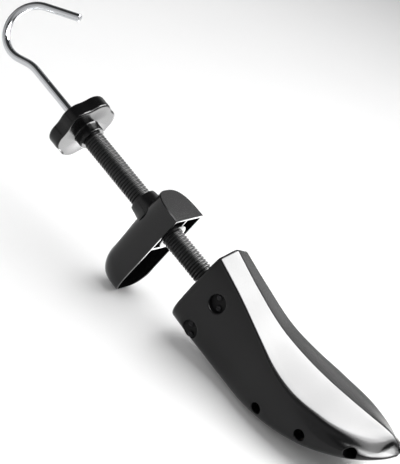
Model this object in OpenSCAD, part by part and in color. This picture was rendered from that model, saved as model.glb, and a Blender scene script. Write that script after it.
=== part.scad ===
// Two-way shoe stretcher: a split last that a wedge spreads from inside, a
// threaded tube with a star knob that drives the heel block, and a hooked rod
// that turns the wedge screw.
//
// Everything is drawn in the screw's own frame first: x runs along the screw
// towards the toe, with 0 at the rear face of the last, y is the left side and
// z is up. The whole is then pitched so that the sole of the last and the
// bottom of the heel block both stand on the ground.

/* [Last] */
// Length of the last from its rear face to the toe
last_len = 179; // [165:1:195]
// Width of the last across the ball of the foot
ball_w = 77; // [70:1:84]
// Width of the last at its rear face
rear_w = 45; // [42:1:50]
// Wall thickness of each hollow half
wall = 3; // [2.5:0.5:3.5]
// Gap between the two halves when closed
split_gap = 0.4; // [0.3:0.1:0.8]
// Diameter of the bores that the guide stubs slide in
guide_bore_d = 13.3; // [12.5:0.1:14]
// Diameter of the holes for bunion plugs
plug_hole_d = 8; // [6:0.5:9]
// Depth of the plug holes
plug_hole_deep = 10; // [8:0.5:12]

/* [Length screw] */
// Outside diameter of the threaded tube
tube_d = 16.4; // [15:0.2:18]
// Pitch of the tube's thread
tube_pitch = 2.5; // [2:0.25:3]
// Depth of the tube's thread
tube_thread_deep = 1.1; // [0.8:0.1:1.3]
// Distance from the last to the end of the thread under the knob
tube_reach = 141.5; // [130:0.5:150]

/* [Star knob] */
// Diameter over the lobes
knob_d = 54.5; // [48:0.5:58]
// Number of lobes
knob_lobes = 6; // [5:1:8]
// Turn of the star about the screw, from a lobe to the left
knob_turn = 28; // [0:1:60]
// Thickness of the star
knob_t = 12; // [10:1:14]
// Outside diameter of the hub
hub_d = 21.4; // [20:0.2:24]
// Length of the hub in front of the star
hub_len = 8; // [7:0.5:15]

/* [Heel block] */
// Distance from the last to the open front of the heel block
heel_gap = 41; // [36:0.5:55]
// Width of the heel block
heel_w = 35; // [32:1:42]
// Height of the flat top above the screw
heel_up = 21.5; // [18:0.5:26]
// Depth of the bottom below the screw
heel_down = 64.5; // [58:0.5:68]
// Wall thickness of the shell
heel_wall = 2.2; // [1.8:0.1:2.6]

/* [Hook rod] */
// Diameter of the rod
rod_d = 6.35; // [6:0.05:7]
// Bend radius of the hook on the rod's centreline
hook_r = 23.1; // [20:0.1:28]
// Length of the straight end of the hook
hook_tip_len = 30.5; // [20:0.5:38]
// Turn of the hook about the screw, from straight up towards the left
hook_turn = 30; // [-180:5:180]

/* [Wedge screw] */
// Pitch of the thread on the rod
rod_pitch = 1.5; // [1:0.25:2]
// Turns of the hook from closed to wide open
wedge_turns = 7; // [5:1:7]
// Angle of the wedge's faces to the screw
wedge_angle = 30; // [25:1:30]

/* [Hidden] */
$fn = 64;

// How the whole stands: the screw slopes down to the toe by this angle
stand_pitch = 14.3;
// Where the screw frame's zero lies, forward of and above the middle of the footprint
stand_x = 37.98;
stand_z = 50.7;

// Clearances: between bodies that pass each other, on a turning fit, on a slide
free_gap = 0.3;
turn_gap = 0.08;

rod_r = rod_d / 2;
tube_r = tube_d / 2;
tube_root_r = tube_r - tube_thread_deep;
tube_bore_r = rod_r + 0.35;
journal_r = 5.6;
split_y = split_gap / 2;

// Places along the screw, from the knob to the toe
hub_front = -tube_reach - 0.5;
star_front = hub_front - hub_len;
star_back = star_front - knob_t;
heel_front = -heel_gap;
collar_back = heel_front - 37.7;
guide_x = 23;
guide_upper_z = 6.6;
guide_lower_x = 20.4;
guide_lower_z = -25;
block_back = 12;
block_front = 31;
pocket_step = 36.5;
pocket_front = 46;
cap_front = 50;
wedge_back = 92;
wedge_len = 20;
wedge_half = 5.5;
wedge_high = 9;
wedge_travel = wedge_turns * rod_pitch;
spread = wedge_travel * tan(wedge_angle);
ramp_x0 = 89.5;
ramp_x1 = 113;
ramp_pad_y = 22;
rod_end = 123;

// Shape of the last, as [share of its length, value] at stations
// Height of the ridge along the split
ridge = [
    [0, 35.7], [0.17, 28.1], [0.34, 22.6], [0.48, 22.3], [0.61, 24.5],
    [0.73, 28.2], [0.83, 31.9], [0.92, 35.2], [1, 35.5]
];
// Height of the crease where the top facet meets the side
crease_z = [
    [0, 30.2], [0.17, 24], [0.34, 17.5], [0.48, 15], [0.61, 16.5],
    [0.73, 20.6], [0.83, 24.6], [0.92, 28.8], [1, 31]
];
// Half the width between the creases, as a share of half the ball's width
crease_y = [
    [0, 0.47], [0.17, 0.51], [0.34, 0.62], [0.48, 0.82], [0.6, 0.93],
    [0.73, 0.89], [0.83, 0.81], [0.92, 0.70], [1, 0.66]
];
// Half the greatest width, as a share of half the ball's width past the waist
side_y = [
    [0, 0], [0.17, 0.03], [0.34, 0.25], [0.48, 0.70], [0.61, 0.98],
    [0.73, 1], [0.83, 1], [0.92, 1], [1, 1]
];
// Height of the sole
sole = [
    [0, -34], [0.17, -35], [0.34, -34.2], [0.48, -30.4], [0.61, -22.6],
    [0.73, -12.6], [0.83, -0.7], [0.92, 12], [1, 27]
];

// A smooth curve through a list of [place, value] stations
function slope_at(t, i) =
    i == 0 ? (t[1][1] - t[0][1]) / (t[1][0] - t[0][0])
    : i == len(t) - 1 ? (t[i][1] - t[i - 1][1]) / (t[i][0] - t[i - 1][0])
    : (t[i + 1][1] - t[i - 1][1]) / (t[i + 1][0] - t[i - 1][0]);
function span_of(t, x, i = 0) = (i >= len(t) - 2 || x < t[i + 1][0]) ? i : span_of(t, x, i + 1);
function hermite(a, b, ma, mb, h, u) =
    a * (2 * u ^ 3 - 3 * u ^ 2 + 1) + ma * h * (u ^ 3 - 2 * u ^ 2 + u)
    + b * (3 * u ^ 2 - 2 * u ^ 3) + mb * h * (u ^ 3 - u ^ 2);
function smooth(t, x) =
    let (i = span_of(t, x), h = t[i + 1][0] - t[i][0])
    hermite(t[i][1], t[i + 1][1], slope_at(t, i), slope_at(t, i + 1), h, (x - t[i][0]) / h);

// A round end: 1 up to share from, falling to 0 at share to as an ellipse does
function round_end(s, from, to) = s <= from ? 1 : s >= to ? 0 : sqrt(1 - ((s - from) / (to - from)) ^ 2);

function ridge_z(s) = smooth(ridge, s) - 7 * (1 - round_end(s, 0.93, 1.0));
function fold_z(s) = smooth(crease_z, s);
function half_side(s) =
    max(1.2, (rear_w / 2 + (ball_w - rear_w) / 2 * smooth(side_y, s)) * round_end(s, 0.72, 1.0));
function half_fold(s) =
    min(half_side(s) * 0.97, max(half_side(s) * 0.25, ball_w / 2 * smooth(crease_y, s) * round_end(s, 0.72, 0.965)));
function sole_z(s) = smooth(sole, s);

// One point on the way from a to b to c, as a bend
function bend(a, b, c, u) = a * (1 - u) ^ 2 + b * 2 * u * (1 - u) + c * u ^ 2;

// Half of the last's outline at share s of its length, drawn in by d: from the
// middle of the sole round the side and over the facet to the ridge
function half_outline(s, d, inner_y) =
    let (
        hw = half_side(s) - d,
        zb = sole_z(s) + d,
        zt = ridge_z(s) - d * 1.04,
        fy = min(half_fold(s) - d * 0.8, hw * 0.98),
        fz = fold_z(s) - d,
        zm = zb + (fz - zb) * 0.5,
        square = 0.52 + 0.2 * min(1, max(0, (s - 0.1) / 0.4)),
        soft = min(0.45 * fy, 1.2 + 7 * max(0, s - 0.35)),
        fold = [fy, fz],
        on_side = [fy + (hw - fy) * min(0.8, soft / (fz - zm)), fz - soft],
        on_top = [fy - soft, fz + (zt - fz) * soft / fy]
    )
    concat(
        [for (a = [0:11.25:90]) [max(inner_y, hw * sin(a) ^ square), zm - (zm - zb) * cos(a) ^ square]],
        [for (u = [0.34, 0.67]) [hw - (hw - on_side[0]) * u ^ 1.8, zm + (on_side[1] - zm) * u]],
        [for (u = [0, 0.33, 0.67, 1]) bend(on_side, fold, on_top, u)],
        [for (u = [0.34, 0.67]) [on_top[0] * (1 - u), on_top[1] + (zt - on_top[1]) * sin(90 * u) ^ 1.25]],
        [[inner_y, zt]]
    );

// A closed skin over a row of outlines that all have the same number of points
module skin(rows) {
    n = len(rows[0]);
    m = len(rows);
    polyhedron(
        points = [for (r = rows) each r],
        faces = concat(
            [[for (k = [0:n - 1]) k]],
            [for (i = [0:m - 2]) for (k = [0:n - 1])
                let (a = i * n + k, b = i * n + (k + 1) % n) each [[a, a + n, b], [b, a + n, b + n]]],
            [[for (k = [n - 1:-1:0]) (m - 1) * n + k]]
        ),
        convexity = 6
    );
}

// The rear edge is rounded by this much
rear_round = 3;
body_stations = [for (i = [1:22]) 1 - (1 - i / 22) ^ 1.5];

// The outside of one half, on the left, solid and reaching past the split
module half_outside() {
    edge = [for (a = [0, 30, 60]) [rear_round * (1 - cos(a)), rear_round * (1 - sin(a))]];
    rows = concat(
        [for (e = edge) [for (p = half_outline(e[0] / last_len, e[1], -1)) [e[0], p[0], p[1]]]],
        [for (s = concat([rear_round / last_len], body_stations))
            [for (p = half_outline(min(s, 0.997), 0, -1)) [s * last_len, p[0], p[1]]]]
    );
    skin(rows);
}

// The room inside one half, on the left, reaching past the split and up to this share of the length
room_share = 0.93;
module half_inside() {
    first = wall / last_len;
    last_share = 0.95;
    rows = [for (i = [0:16])
        let (s = first + (last_share - first) * i / 16)
        [for (p = half_outline(s, wall, -1)) [s * last_len, p[0], p[1]]]];
    intersection() {
        skin(rows);
        translate([0, -10, -100]) cube([room_share * last_len, 100, 200]);
    }
}

// A bar along y from y0 to y1, centred on x, z
module cross_bar(x, z, r, y0, y1) {
    translate([x, y0, z]) rotate([-90, 0, 0]) cylinder(r = r, h = y1 - y0);
}

// Plug holes on the left half: [x, z, how far out the wall is there]
plug_holes = [
    [96, -14, half_side(0.536)],
    [129.3, 1.5, half_side(0.722)],
    [159.5, 17.5, half_side(0.89)]
];

module one_half() {
    difference() {
        intersection() {
            half_outside();
            translate([-10, split_y, -100]) cube([last_len + 20, 100, 200]);
        }
        difference() {
            half_inside();
            // Guide bosses
            cross_bar(guide_x, guide_upper_z, guide_bore_d / 2 + 2.4, 8, 40);
            cross_bar(guide_lower_x, guide_lower_z, guide_bore_d / 2 + 2.4, 5, 40);
            // Plug bosses
            for (h = plug_holes) cross_bar(h[0], h[1], plug_hole_d / 2 + 2, h[2] - plug_hole_deep, 45);
            // Pad that carries the ramp
            translate([ramp_x0 - 1.5, ramp_pad_y, -wedge_high - 1]) cube([ramp_x1 - ramp_x0 + 3, 30, 2 * wedge_high + 2]);
            // Stiffening ribs across the half, cut away round the works in the middle
            for (x = [60, 76, 138]) difference() {
                translate([x, -2, -50]) cube([2.4, 60, 100]);
                translate([x - 1, -3, -11]) cube([4.4, 15, 22]);
            }
        }
        // Notch for the tube
        translate([-1, 0, 0]) rotate([0, 90, 0]) cylinder(r = tube_r + 0.4, h = wall + 2);
        // Guide bores
        cross_bar(guide_x, guide_upper_z, guide_bore_d / 2, -1, 40);
        cross_bar(guide_lower_x, guide_lower_z, guide_bore_d / 2, -1, 40);
        // Plug holes
        for (h = plug_holes) cross_bar(h[0], h[1], plug_hole_d / 2, h[2] - plug_hole_deep - 1, 45);
        // Holes for the ramp's screws
        for (x = ramp_screw_x) cross_bar(x, 0, 1.25, ramp_pad_y - 1, ramp_pad_y + 8);
    }
}

module last_left() {
    color("#151516") placed() one_half();
}

module last_right() {
    color("#151516") placed() mirror([0, 1, 0]) one_half();
}

// y of the ramp's face at x on the left side, with the halves closed
function face_y(x) = wedge_half + (x - wedge_back) * tan(wedge_angle);
ramp_screw_x = [93.5, 101.5];
rail_neck = 5;
rail_head = 9;
rail_deep = 2;

// A bar of one cross-section that runs along the wedge's left face; the
// section is [distance out from the face, height]
module along_face(x0, x1) {
    length = (x1 - x0) / cos(wedge_angle);
    translate([x0, face_y(x0), 0]) rotate([0, 0, wedge_angle]) rotate([90, 0, 90]) linear_extrude(length) children();
}

// Section of the rail on the wedge, or with a gap the slot that it runs in
module rail_section(gap) {
    translate([-1, -rail_neck / 2 - gap]) square([rail_deep + 1.5, rail_neck + 2 * gap]);
    translate([rail_deep - gap, -rail_head / 2 - gap]) square([rail_deep + 2 * gap, rail_head + 2 * gap]);
}

module one_ramp() {
    difference() {
        translate([0, 0, -wedge_high]) linear_extrude(2 * wedge_high) polygon([
            [ramp_x0, face_y(ramp_x0) + free_gap],
            [ramp_x1, face_y(ramp_x1) + free_gap],
            [ramp_x1, ramp_pad_y],
            [ramp_x0, ramp_pad_y]
        ]);
        along_face(ramp_x0 - 8, ramp_x1 + 8) rail_section(free_gap);
        for (x = ramp_screw_x) {
            cross_bar(x, 0, 1.6, 0, 30);
            cross_bar(x, 0, 3, 0, face_y(x) + 9.5);
        }
    }
}

module one_ramp_screw(x) {
    cross_bar(x, 0, 1.2, face_y(x) + 9, ramp_pad_y + 7.5);
    difference() {
        cross_bar(x, 0, 2.7, face_y(x) + 7.4, face_y(x) + 9.4);
        translate([x - 4, face_y(x) + 7.3, -0.4]) cube([8, 0.9, 0.8]);
    }
}

module ramp_left() {
    color("#c9c9c4") placed() one_ramp();
}

module ramp_right() {
    color("#c9c9c4") placed() mirror([0, 1, 0]) one_ramp();
}

module ramp_screws_left() {
    color("silver") placed() for (x = ramp_screw_x) one_ramp_screw(x);
}

module ramp_screws_right() {
    color("silver") placed() mirror([0, 1, 0]) for (x = ramp_screw_x) one_ramp_screw(x);
}

module wedge_nut() {
    color("#b8923f") placed() difference() {
        union() {
            translate([0, 0, -wedge_high]) linear_extrude(2 * wedge_high) polygon([
                [wedge_back, -wedge_half],
                [wedge_back + wedge_len, -wedge_half - wedge_len * tan(wedge_angle)],
                [wedge_back + wedge_len, wedge_half + wedge_len * tan(wedge_angle)],
                [wedge_back, wedge_half]
            ]);
            for (side = [0, 1]) mirror([0, side, 0])
                intersection() {
                    along_face(wedge_back - 8, wedge_back + wedge_len + 8) rail_section(0);
                    translate([wedge_back, -40, -20]) cube([wedge_len, 80, 40]);
                }
        }
        translate([wedge_back - 1, 0, 0]) rotate([0, 90, 0]) cylinder(r = rod_r + turn_gap, h = wedge_len + 2);
    }
}

// A turned thread: grooves at an even pitch between x0 and x1
function grooves(x0, x1, pitch, r, root) = [
    for (i = [0:floor((x1 - x0) / pitch) - 1]) each [
        [root, x0 + pitch * (i + 0.06)],
        [r, x0 + pitch * (i + 0.26)],
        [r, x0 + pitch * (i + 0.76)],
        [root, x0 + pitch * (i + 0.96)]
    ]
];

// A solid of revolution about the screw from [radius, x] points
module turned(points) {
    rotate([0, 90, 0]) rotate([0, 0, 90]) rotate_extrude() polygon(points);
}

hook_start = -216;
jog_angle = 21;
jog_r = 30;

// A ball that joins two lengths of the rod; the straight lengths stop short of it by end_gap
end_gap = 0.15;
module joint_ball(at) {
    translate([at[0], at[1], 0]) rotate([40, 25, 15]) sphere(rod_r + 0.03);
}

module hook_rod() {
    // The jog turns the rod down by jog_angle, and the big bend brings it back over
    jog_end = [hook_start - jog_r * sin(jog_angle), -jog_r * (1 - cos(jog_angle))];
    jog_run = 7.5;
    bend_start = jog_end + jog_run * [-cos(jog_angle), -sin(jog_angle)];
    bend_centre = bend_start + hook_r * [-sin(jog_angle), cos(jog_angle)];
    bend_angle = 172;
    tip_angle = 180 + jog_angle - bend_angle;
    tip_start = bend_centre + hook_r * [-sin(tip_angle), cos(tip_angle)];
    color("#d8dadc") placed() rotate([-hook_turn, 0, 0]) difference() {
        // Drawn in its own plane, x and y, and then stood up
        rotate([90, 0, 0]) {
            rotate([0, 90, 0]) rotate_extrude() polygon(concat(
                [[0, hook_start + end_gap], [rod_r, hook_start + end_gap], [rod_r, 80], [rod_r - 0.45, 80.5]],
                grooves(81, 118, rod_pitch, rod_r, rod_r - 0.55),
                [[rod_r - 0.55, 118.5], [rod_r - 0.55, rod_end - 0.6], [rod_r - 1.1, rod_end], [0, rod_end]]
            ));
            translate([hook_start, -jog_r, 0]) rotate([0, 0, 90]) rotate_extrude(angle = jog_angle)
                translate([jog_r, 0]) circle(rod_r);
            translate([jog_end[0], jog_end[1], 0]) rotate([0, 0, jog_angle]) rotate([0, -90, 0])
                translate([0, 0, end_gap]) cylinder(r = rod_r, h = jog_run - 2 * end_gap);
            translate([bend_centre[0], bend_centre[1], 0]) rotate([0, 0, jog_angle - 90 - bend_angle])
                rotate_extrude(angle = bend_angle) translate([hook_r, 0]) circle(rod_r);
            translate([tip_start[0], tip_start[1], 0]) rotate([0, 0, tip_angle]) rotate([0, 90, 0]) rotate([0, 0, 90])
                rotate_extrude() polygon([[0, end_gap], [rod_r, end_gap], [rod_r, hook_tip_len - 0.8], [rod_r - 0.8, hook_tip_len], [0, hook_tip_len]]);
            joint_ball([hook_start, 0]);
            joint_ball(jog_end);
            joint_ball(bend_start);
            joint_ball(tip_start);
        }
        // Cross hole for the pin that holds the thrust collar
        translate([41, 0, -10]) cylinder(r = 1, h = 20);
    }
}

module rod_thrust_collar() {
    color("#8d9094") placed() rotate([-hook_turn, 0, 0]) difference() {
        turned([[rod_r, 38.3], [9.2, 38.3], [9.6, 38.7], [9.6, 43.3], [9.2, 43.7], [rod_r, 43.7]]);
        translate([41, 0, -12]) cylinder(r = 1, h = 24);
    }
}

module collar_pin() {
    color("#8d9094") placed() rotate([-hook_turn, 0, 0]) translate([41, 0, -8.6]) cylinder(r = 1, h = 17.2);
}

module hook_rod_stop_nut() {
    color("silver") placed() difference() {
        translate([118.8, 0, 0]) rotate([0, 90, 0]) cylinder(r = 5.5, h = 3, $fn = 6);
        translate([118, 0, 0]) rotate([0, 90, 0]) cylinder(r = rod_r - 0.55, h = 5);
    }
}

module threaded_tube() {
    color("#1b1b1c") placed() difference() {
        turned(concat(
            [[tube_bore_r, star_back + 2], [tube_root_r, star_back + 2], [tube_root_r, -tube_reach]],
            grooves(-tube_reach, 6, tube_pitch, tube_r, tube_root_r),
            [[tube_root_r, 6.5], [tube_root_r, 11.2], [journal_r, 11.2], [journal_r, 33], [journal_r - 0.8, 33],
             [journal_r - 0.8, 34.2], [journal_r, 34.2], [journal_r, 35.6], [journal_r - 0.4, 36], [tube_bore_r, 36]]
        ));
        set_screw_way() cylinder(r = 1.6, h = 8);
    }
}

module tube_retaining_ring() {
    color("#8d9094") placed() difference() {
        translate([33.05, 0, 0]) rotate([0, 90, 0]) cylinder(r = 8.8, h = 1.1);
        translate([32, 0, 0]) rotate([0, 90, 0]) cylinder(r = journal_r - 0.8, h = 4);
        translate([32, -1.5, 0]) cube([4, 3, 12]);
    }
}

// Where the knob's set screw goes in: square to the screw, from the lower left
module set_screw_way() {
    translate([hub_front - 4, 0, 0]) rotate([-130, 0, 0]) translate([0, 0, 4.4]) children();
}

// The star's outline: round lobes and shallow hollows that meet without a corner
module star_outline() {
    r = knob_d / 2;
    half_step = 180 / knob_lobes;
    hollow_r = 22;
    hollow_at = r - 2.6 + hollow_r;
    lobe_r = (r ^ 2 + hollow_at ^ 2 - 2 * r * hollow_at * cos(half_step) - hollow_r ^ 2)
        / (2 * (r + hollow_r - hollow_at * cos(half_step)));
    lobe_at = r - lobe_r;
    meet = [
        (lobe_at * hollow_r + hollow_at * cos(half_step) * lobe_r) / (lobe_r + hollow_r),
        hollow_at * sin(half_step) * lobe_r / (lobe_r + hollow_r)
    ];
    difference() {
        union() {
            circle(norm(meet));
            for (i = [0:knob_lobes - 1]) rotate(knob_turn + 2 * half_step * i) translate([lobe_at, 0]) circle(lobe_r);
        }
        for (i = [0:knob_lobes - 1]) rotate(knob_turn + 2 * half_step * (i + 0.5)) translate([hollow_at, 0]) circle(hollow_r + 0.05);
    }
}

module star_knob() {
    r = knob_d / 2;
    color("#161617") placed() difference() {
        union() {
            intersection() {
                translate([star_back, 0, 0]) rotate([90, 0, 90]) linear_extrude(knob_t) star_outline();
                turned([[0, star_back], [r - 3, star_back], [r, star_back + 2.6], [r, star_front - 2], [r - 2.4, star_front], [0, star_front]]);
            }
            // Hub in front, and a low boss behind
            turned([[0, star_front - 1], [hub_d / 2 + 0.4, star_front - 1], [hub_d / 2, hub_front - 0.6], [hub_d / 2 - 0.6, hub_front], [0, hub_front]]);
            turned([[0, star_back + 1], [11.5, star_back + 1], [10.5, star_back - 2], [0, star_back - 2]]);
        }
        // Seat of the tube, and the way for the rod
        translate([star_back + 2, 0, 0]) rotate([0, 90, 0]) cylinder(r = tube_root_r, h = 60);
        translate([star_back - 5, 0, 0]) rotate([0, 90, 0]) cylinder(r = rod_r + 0.35, h = 10);
        set_screw_way() cylinder(r = 1.6, h = 20);
    }
}

module knob_set_screw() {
    color("silver") placed() set_screw_way() difference() {
        cylinder(r = 1.6, h = 5.6);
        translate([0, 0, 4.2]) cylinder(r = 0.9, h = 2, $fn = 6);
    }
}

// Half the shell's width, and the depth of the shell behind its open front, at height z
heel_bottom_h = 22;
function heel_round(z) = z > heel_bottom_h - heel_down ? 1 : sqrt(max(0, 1 - ((heel_bottom_h - heel_down - z) / heel_bottom_h) ^ 2));
function heel_half(z, d) = max(0.6, (heel_w / 2 + 0.6 * (heel_up - z) / (heel_up + heel_down)) * heel_round(z) ^ 0.9 - d);
function heel_depth(z, d) = max(1.5, (28.5 + 2.4 * ((heel_up - z) / (heel_up + heel_down)) - 6 * ((heel_up - z) / (heel_up + heel_down)) ^ 2.6) * (0.25 + 0.75 * heel_round(z) ^ 0.7) - d);

// How far the open front leans back at height z
function heel_lean(z) = 3.4 * (heel_up - z) / (heel_up + heel_down) + 3.5 * (1 - heel_round(z)) ^ 1.3;

// The shell's outline at height z, drawn in by d, with its front pushed out by f
function heel_outline(z, d, f) = [
    for (a = [0:9:180])
        let (c = cos(a), s = sin(a))
        [heel_front - heel_lean(z) + f - (heel_depth(z, d) + f) * abs(s) ^ 0.62, heel_half(z, d) * sign(c) * abs(c) ^ 0.74, z]
];

heel_steps = concat(
    [for (a = [90:-13:12]) heel_bottom_h - heel_down - heel_bottom_h * sin(min(a, 88))],
    [for (i = [6:-1:0]) heel_up - (heel_up + heel_down - heel_bottom_h) * i / 6]
);

module heel_outside() {
    rows = [for (z = heel_steps) heel_outline(z, 0, 0)];
    skin(rows);
}

module heel_inside() {
    rows = [for (z = heel_steps)
        let (zz = z > heel_up - heel_wall ? heel_up - heel_wall : min(z + heel_wall * 0.02, heel_up))
        heel_outline(zz > heel_bottom_h - heel_down ? zz : zz + heel_wall * 1.05, heel_wall, 3)];
    skin(rows);
}

module heel_block() {
    hub_r = 11.6;
    color("#171718") placed() difference() {
        union() {
            difference() {
                heel_outside();
                difference() {
                    heel_inside();
                    // Hub round the screw, a web above it and a plate below it
                    translate([-90, 0, 0]) rotate([0, 90, 0]) cylinder(r = hub_r, h = 89.2 + heel_front);
                    translate([-90, -0.9, 5]) cube([89.2 + heel_front, 1.8, 40]);
                    translate([-90, -30, -hub_r - 0.6]) cube([88.6 + heel_front, 60, 2]);
                }
            }
            // Tapered collar on the knob side
            turned([[0, collar_back], [10.2, collar_back], [10.9, collar_back + 0.8], [11.7, collar_back + 6], [15, collar_back + 14], [0, collar_back + 14]]);
        }
        translate([-100, 0, 0]) rotate([0, 90, 0]) cylinder(r = tube_r + turn_gap, h = 100);
    }
}

module carrier() {
    color("#2a2a2c") placed() difference() {
        union() {
            translate([block_back, -7.5, -13]) cube([block_front + 2 - block_back, 15, 27.5]);
            translate([block_back, -4.5, guide_lower_z - 6]) cube([17.4, 9, 22]);
            translate([block_front + 1.5, 0, 0]) rotate([0, 90, 0]) cylinder(r = 14, h = pocket_front - block_front - 1.5);
        }
        translate([0, 0, 0]) rotate([0, 90, 0]) cylinder(r = journal_r + turn_gap, h = block_front + 2);
        translate([block_front, 0, 0]) rotate([0, 90, 0]) cylinder(r = 9.2, h = 20);
        translate([pocket_step, 0, 0]) rotate([0, 90, 0]) cylinder(r = 10.4, h = 20);
        for (a = [45, 135, 225, 315]) rotate([a, 0, 0]) translate([pocket_front - 6, 12.2, 0]) rotate([0, 90, 0]) cylinder(r = 0.9, h = 8);
        for (s = stub_screws) translate([s[0], 0, s[1]]) rotate([90, 0, 0]) cylinder(r = 0.9, h = 2 * s[2] + 3.6, center = true);
    }
}

module carrier_cap() {
    color("#2a2a2c") placed() difference() {
        translate([pocket_front, 0, 0]) rotate([0, 90, 0]) cylinder(r = 14, h = cap_front - pocket_front);
        translate([pocket_front - 1, 0, 0]) rotate([0, 90, 0]) cylinder(r = rod_r + turn_gap, h = 20);
        for (a = [45, 135, 225, 315]) rotate([a, 0, 0]) translate([pocket_front - 1, 12.2, 0]) rotate([0, 90, 0]) cylinder(r = 1.2, h = 8);
    }
}

module carrier_cap_screws() {
    color("silver") placed() for (a = [45, 135, 225, 315]) rotate([a, 0, 0]) translate([0, 12.2, 0]) rotate([0, 90, 0]) {
        translate([0, 0, pocket_front - 5]) cylinder(r = 0.9, h = cap_front - pocket_front + 5);
        translate([0, 0, cap_front]) cylinder(r = 1.75, h = 1.3);
    }
}

module thrust_washers() {
    color("#b8b29a") placed() for (x = [pocket_step, 44.2]) difference() {
        translate([x, 0, 0]) rotate([0, 90, 0]) cylinder(r = 10.2, h = 1.5);
        translate([x - 1, 0, 0]) rotate([0, 90, 0]) cylinder(r = rod_r + 0.3, h = 4);
    }
}

// Screws that hold the guide stubs: [x, z, half width of the carrier there]
stub_screws = [
    [guide_x - 2.4, guide_upper_z + 3, 7.5],
    [guide_x + 2.4, guide_upper_z - 3, 7.5],
    [guide_lower_x - 2.4, guide_lower_z + 3, 4.5],
    [guide_lower_x + 2.4, guide_lower_z - 3, 4.5]
];
stub_end = 18.2;

module one_stub(x, z, y0) {
    difference() {
        cross_bar(x, z, guide_bore_d / 2 - turn_gap, y0, stub_end);
        for (s = [-1, 1]) cross_bar(x + 2.4 * s, z - 3 * s, 1.15, y0 - 1, stub_end + 1);
    }
}

module guide_stubs_upper() {
    color("#232325") placed() for (side = [0, 1]) mirror([0, side, 0]) one_stub(guide_x, guide_upper_z, 7.5);
}

module guide_stubs_lower() {
    color("#232325") placed() for (side = [0, 1]) mirror([0, side, 0]) one_stub(guide_lower_x, guide_lower_z, 4.5);
}

module guide_stub_screws() {
    color("silver") placed() for (side = [0, 1]) mirror([0, side, 0]) for (s = stub_screws) {
        cross_bar(s[0], s[1], 0.9, s[2] - 1.7, stub_end);
        difference() {
            cross_bar(s[0], s[1], 2.2, stub_end, stub_end + 1.3);
            translate([s[0] - 3, stub_end + 0.7, s[1] - 0.35]) cube([6, 2, 0.7]);
        }
    }
}

// From the screw's frame to the way the object stands
module placed() {
    translate([stand_x, 0, stand_z]) rotate([0, stand_pitch, 0]) children();
}

hook_rod();
hook_rod_stop_nut();
rod_thrust_collar();
collar_pin();
star_knob();
knob_set_screw();
threaded_tube();
tube_retaining_ring();
heel_block();
carrier();
carrier_cap();
carrier_cap_screws();
thrust_washers();
guide_stubs_upper();
guide_stubs_lower();
guide_stub_screws();
wedge_nut();
last_left();
last_right();
ramp_left();
ramp_right();
ramp_screws_left();
ramp_screws_right();
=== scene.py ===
import math

import bmesh
import bpy
import numpy as np
from mathutils import Matrix, Vector


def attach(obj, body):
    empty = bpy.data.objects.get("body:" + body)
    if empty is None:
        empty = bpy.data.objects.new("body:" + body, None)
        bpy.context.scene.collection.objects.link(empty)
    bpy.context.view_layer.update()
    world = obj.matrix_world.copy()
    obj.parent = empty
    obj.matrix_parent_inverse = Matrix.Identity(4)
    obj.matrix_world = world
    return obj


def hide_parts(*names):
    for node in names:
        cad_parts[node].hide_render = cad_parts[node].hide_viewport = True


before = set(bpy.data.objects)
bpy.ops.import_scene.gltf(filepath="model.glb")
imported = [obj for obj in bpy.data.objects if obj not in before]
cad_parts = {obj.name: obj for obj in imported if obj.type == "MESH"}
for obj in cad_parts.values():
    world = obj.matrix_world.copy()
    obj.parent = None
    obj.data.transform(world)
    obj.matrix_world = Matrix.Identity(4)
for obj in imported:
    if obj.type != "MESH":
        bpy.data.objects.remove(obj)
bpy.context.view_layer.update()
scene = bpy.context.scene

# Everything is worked out in millimetres in the screw's frame: x along the
# screw to the toe, y to the left, z up. to_world puts it on the ground.
PITCH = math.radians(14.3)
SHIFT = np.array([37.98, 0.0, 50.7])
TURN = np.array([
    [math.cos(PITCH), 0, math.sin(PITCH)],
    [0, 1, 0],
    [-math.sin(PITCH), 0, math.cos(PITCH)],
])


def to_world(points):
    return (np.asarray(points, float).reshape(-1, 3) @ TURN.T + SHIFT) / 1000


def direction(v):
    return Vector(TURN @ np.array(v, float)).normalized()


# Meshes
def new_mesh(name, points, faces, world=True):
    me = bpy.data.meshes.new(name)
    placed = to_world(points) if world else points
    me.from_pydata([tuple(p) for p in placed], [], [tuple(int(i) for i in f) for f in faces])
    me.validate()
    me.update()
    return me


def new_object(name, points, faces):
    ob = bpy.data.objects.new(name, new_mesh(name, points, faces))
    scene.collection.objects.link(ob)
    return ob


def outward(ob, weld=0.0):
    """Normals of closed shells point outward; points closer than weld (metres) become one first."""
    bm = bmesh.new()
    bm.from_mesh(ob.data)
    if weld:
        bmesh.ops.remove_doubles(bm, verts=bm.verts, dist=weld)
        bmesh.ops.dissolve_degenerate(bm, edges=bm.edges, dist=weld)
    bmesh.ops.recalc_face_normals(bm, faces=bm.faces)
    bm.to_mesh(ob.data)
    bm.free()


def smooth(ob, angle):
    ob.data.shade_smooth()
    ob.data.set_sharp_from_angle(angle=math.radians(angle))


def loft(rows):
    """Points and faces of a skin over rings of equally many points, capped at both ends."""
    rows = [np.asarray(r, float) for r in rows]
    n = len(rows[0])
    faces = []
    for i in range(len(rows) - 1):
        for k in range(n):
            a, b = i * n + k, i * n + (k + 1) % n
            faces.append((a, a + n, b + n, b))
    faces.append(tuple(range(n)))
    faces.append(tuple((len(rows) - 1) * n + k for k in range(n - 1, -1, -1)))
    return np.vstack(rows), faces


def turned(profile, steps):
    """A solid of revolution about the screw from (radius, x) points, with flat ends."""
    a = np.linspace(0, 2 * math.pi, steps, endpoint=False)
    return loft([np.column_stack([np.full(steps, x), r * np.cos(a), r * np.sin(a)]) for r, x in profile])


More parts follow.
